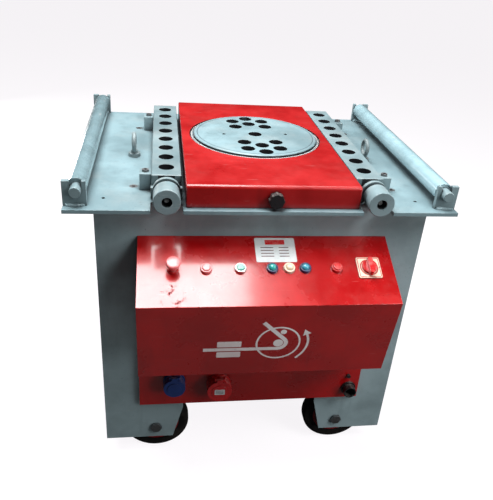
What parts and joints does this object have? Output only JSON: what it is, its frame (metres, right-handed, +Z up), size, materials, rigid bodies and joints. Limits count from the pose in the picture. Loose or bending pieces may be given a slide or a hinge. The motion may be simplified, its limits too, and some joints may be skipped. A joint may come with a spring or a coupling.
{
  "type": "rebar bender",
  "caption": "Electric table machine that bends reinforcing bar: turntable with pin sockets, two sliding socket bars, side rollers, sloped control console, cabinet on wheels.",
  "frame": {"origin": "on the floor under the middle of the machine", "axes": "+X to the operator's right, +Y to the back, +Z up along the turntable axis"},
  "size_m": [0.99, 0.944, 0.9359],
  "materials": {
    "table_paint": "light blue-grey gloss enamel with scuffs and bare edges",
    "cabinet_paint": "dark blue-grey semi-gloss enamel, dusty",
    "bar_paint": "blue-grey enamel over sawn steel",
    "red_paint": "red gloss enamel with dust and scuffs",
    "machined_steel": "turned or ground steel",
    "zinc_fastener": "zinc-plated steel",
    "gear_steel": "oiled cut steel",
    "cast_housing": "painted casting",
    "motor_casting": "painted aluminium",
    "black_plastic": "moulded phenolic",
    "grey_plastic": "moulded",
    "red_plastic": "moulded",
    "green_plastic": "moulded",
    "cream_plastic": "moulded",
    "lamp_lens": "translucent moulded lens",
    "blue_plastic": "moulded",
    "belt_rubber": "moulded",
    "wheel_tyre": "solid rubber on a painted cast hub"
  },
  "bodies": {
    "frame": {"table_plate": "table_paint", "front_frame": "cabinet_paint", "rear_frame": "cabinet_paint", "side_panel_left": "cabinet_paint", "side_panel_right": "cabinet_paint", "cross_rails": "cabinet_paint", "axle_bolts": "zinc_fastener", "motor_shelf": "cabinet_paint", "roller_brackets": "bar_paint", "roller_shafts": "bar_paint", "guide_blocks": "bar_paint", "table_fasteners": "zinc_fastener", "screw_yokes": "bar_paint", "eye_bolts": "bar_paint", "bearing_housing": "cast_housing", "bearings": "machined_steel", "gear_case": "cast_housing", "gear_case_lid": "cast_housing", "v_belts": "belt_rubber", "motor_housing": "motor_casting", "cover_mounts": "zinc_fastener", "console_shell": "red_paint", "lower_panel": "red_paint", "electrical_box": "grey_plastic", "control_bezels": "black_plastic", "pilot_lamps": "lamp_lens", "isolator_plate": "cream_plastic", "blue_socket": "blue_plastic", "red_socket": "red_plastic", "pedal_socket": "black_plastic"},
    "turntable": {"turntable_disc": "table_paint", "index_ring": "bar_paint", "main_shaft": "machined_steel", "drive_gear": "gear_steel"},
    "second_shaft": {"countershaft": "gear_steel", "countershaft_gear": "gear_steel"},
    "first_shaft": {"input_shaft": "gear_steel", "driven_pulley": "cast_housing"},
    "motor_rotor": {"motor_shaft": "machined_steel", "motor_pulley": "motor_casting", "motor_fan": "black_plastic"},
    "left_roller": {"roller_left": "table_paint"},
    "right_roller": {"roller_right": "table_paint"},
    "left_adjuster": {"adjusting_wheel_left": "bar_paint"},
    "right_adjuster": {"adjusting_wheel_right": "bar_paint"},
    "left_bar": {"hole_bar_left": "bar_paint"},
    "right_bar": {"hole_bar_right": "bar_paint"},
    "cover": {"turntable_cover": "red_paint"},
    "cover_screw": {"cover_knob": "black_plastic"},
    "estop": {"estop_button": "red_plastic"},
    "stop": {"stop_button": "red_plastic"},
    "start": {"start_button": "green_plastic"},
    "reset": {"reset_button": "red_plastic"},
    "isolator": {"isolator_knob": "red_plastic"},
    "blue_lid": {"blue_socket_lid": "blue_plastic"},
    "red_lid": {"red_socket_lid": "red_plastic"},
    "front_left_wheel": {"wheel_front_left": "wheel_tyre"},
    "front_right_wheel": {"wheel_front_right": "wheel_tyre"},
    "rear_left_wheel": {"wheel_rear_left": "wheel_tyre"},
    "rear_right_wheel": {"wheel_rear_right": "wheel_tyre"}
  },
  "joints": [
    {"name": "turntable_spin", "type": "hinge", "parent": "frame", "child": "turntable", "pos_m": [0.015, 0.066, 0.866], "axis": [0, 0, 1], "continuous": true},
    {"name": "second_shaft_spin", "type": "hinge", "parent": "frame", "child": "second_shaft", "pos_m": [0.015, 0.2535, 0.866], "axis": [0, 0, 1], "continuous": true},
    {"name": "first_shaft_spin", "type": "hinge", "parent": "frame", "child": "first_shaft", "pos_m": [0.165, 0.2535, 0.866], "axis": [0, 0, 1], "continuous": true},
    {"name": "motor_spin", "type": "hinge", "parent": "frame", "child": "motor_rotor", "pos_m": [0.275, -0.069, 0.5], "axis": [0, 0, 1], "continuous": true},
    {"name": "left_roller_spin", "type": "hinge", "parent": "frame", "child": "left_roller", "pos_m": [-0.463, 0, 0.906], "axis": [0, 1, 0], "continuous": true},
    {"name": "right_roller_spin", "type": "hinge", "parent": "frame", "child": "right_roller", "pos_m": [0.463, 0, 0.906], "axis": [0, 1, 0], "continuous": true},
    {"name": "left_adjuster_turn", "type": "hinge", "parent": "frame", "child": "left_adjuster", "pos_m": [-0.251, -0.344, 0.891], "axis": [0, 1, 0], "range_deg": [-1080, 1080]},
    {"name": "left_bar_slide", "type": "slide", "parent": "frame", "child": "left_bar", "axis": [0, 1, 0], "range_m": [-0.01201, 0.01201]},
    {"name": "right_adjuster_turn", "type": "hinge", "parent": "frame", "child": "right_adjuster", "pos_m": [0.281, -0.344, 0.891], "axis": [0, 1, 0], "range_deg": [-1080, 1080]},
    {"name": "right_bar_slide", "type": "slide", "parent": "frame", "child": "right_bar", "axis": [0, 1, 0], "range_m": [-0.01201, 0.01201]},
    {"name": "cover_hinge", "type": "hinge", "parent": "frame", "child": "cover", "pos_m": [0.015, 0.418, 0.874], "axis": [-1, 0, 0], "range_deg": [0, 100]},
    {"name": "cover_screw_turn", "type": "hinge", "parent": "cover", "child": "cover_screw", "pos_m": [0.015, -0.325, 0.894], "axis": [0, -1, 0], "range_deg": [0, 1080]},
    {"name": "estop_press", "type": "slide", "parent": "frame", "child": "estop", "axis": [0, 0.4396, -0.8982], "range_m": [0, 0.005]},
    {"name": "stop_press", "type": "slide", "parent": "frame", "child": "stop", "axis": [0, 0.4396, -0.8982], "range_m": [0, 0.004], "stiffness_N_per_m": 600, "springref_m": -0.003},
    {"name": "start_press", "type": "slide", "parent": "frame", "child": "start", "axis": [0, 0.4396, -0.8982], "range_m": [0, 0.004], "stiffness_N_per_m": 600, "springref_m": -0.003},
    {"name": "reset_press", "type": "slide", "parent": "frame", "child": "reset", "axis": [0, 0.4396, -0.8982], "range_m": [0, 0.004], "stiffness_N_per_m": 600, "springref_m": -0.003},
    {"name": "isolator_turn", "type": "hinge", "parent": "frame", "child": "isolator", "pos_m": [0.268, -0.3751, 0.72143], "axis": [0, -0.4396, 0.8982], "range_deg": [-90, 0]},
    {"name": "blue_lid_hinge", "type": "hinge", "parent": "frame", "child": "blue_lid", "pos_m": [-0.227, -0.325, 0.33], "axis": [-1, 0, 0], "range_deg": [0, 110], "stiffness_Nm_per_rad": 0.01, "springref_deg": -34.38},
    {"name": "red_lid_hinge", "type": "hinge", "parent": "frame", "child": "red_lid", "pos_m": [-0.096, -0.325, 0.318], "axis": [-1, 0, 0], "range_deg": [0, 110], "stiffness_Nm_per_rad": 0.012, "springref_deg": -34.38},
    {"name": "front_left_wheel_spin", "type": "hinge", "parent": "frame", "child": "front_left_wheel", "pos_m": [-0.28, -0.24, 0.1], "axis": [0, 1, 0], "continuous": true},
    {"name": "front_right_wheel_spin", "type": "hinge", "parent": "frame", "child": "front_right_wheel", "pos_m": [0.292, -0.24, 0.1], "axis": [0, 1, 0], "continuous": true},
    {"name": "rear_left_wheel_spin", "type": "hinge", "parent": "frame", "child": "rear_left_wheel", "pos_m": [-0.28, 0.385, 0.1], "axis": [0, 1, 0], "continuous": true},
    {"name": "rear_right_wheel_spin", "type": "hinge", "parent": "frame", "child": "rear_right_wheel", "pos_m": [0.292, 0.385, 0.1], "axis": [0, 1, 0], "continuous": true}
  ],
  "couplings": [
    {"joint": "second_shaft_spin", "follows": "turntable_spin", "ratio": -4},
    {"joint": "first_shaft_spin", "follows": "turntable_spin", "ratio": 16},
    {"joint": "motor_spin", "follows": "turntable_spin", "ratio": 40},
    {"joint": "left_bar_slide", "follows": "left_adjuster_turn", "m_per_rad": -0.00063662},
    {"joint": "right_bar_slide", "follows": "right_adjuster_turn", "m_per_rad": -0.00063662}
  ]
}
